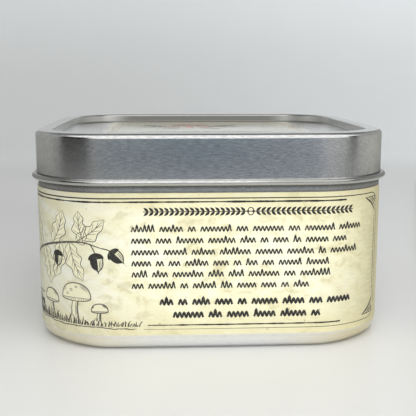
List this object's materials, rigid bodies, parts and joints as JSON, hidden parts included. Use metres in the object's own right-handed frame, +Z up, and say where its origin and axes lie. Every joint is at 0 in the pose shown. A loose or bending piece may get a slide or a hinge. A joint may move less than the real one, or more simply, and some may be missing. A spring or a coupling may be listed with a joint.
{
  "type": "square slip-lid food tin",
  "caption": "Square tinplate box with rounded corners, a slip-on lid with a sunk top panel and rolled edge, a paper label wrapped round three sides and a paper label on the lid.",
  "frame": {"origin": "middle of the base, on the surface that the tin stands on", "axes": "+Z up through the lid; -Y is the side whose right-hand corner carries the end of the long label; +X is the bare side"},
  "size_m": [0.0976, 0.0976, 0.0562],
  "materials": {
    "tinplate": "bright tinplate with a fine rolled grain",
    "label_paper": "matt cream paper with faint age stains",
    "printed_ink": "matt dark printing ink"
  },
  "bodies": {
    "root": {"tin": "tinplate", "lid": "tinplate", "side_label": "label_paper", "lid_label": "label_paper"}
  },
  "joints": []
}
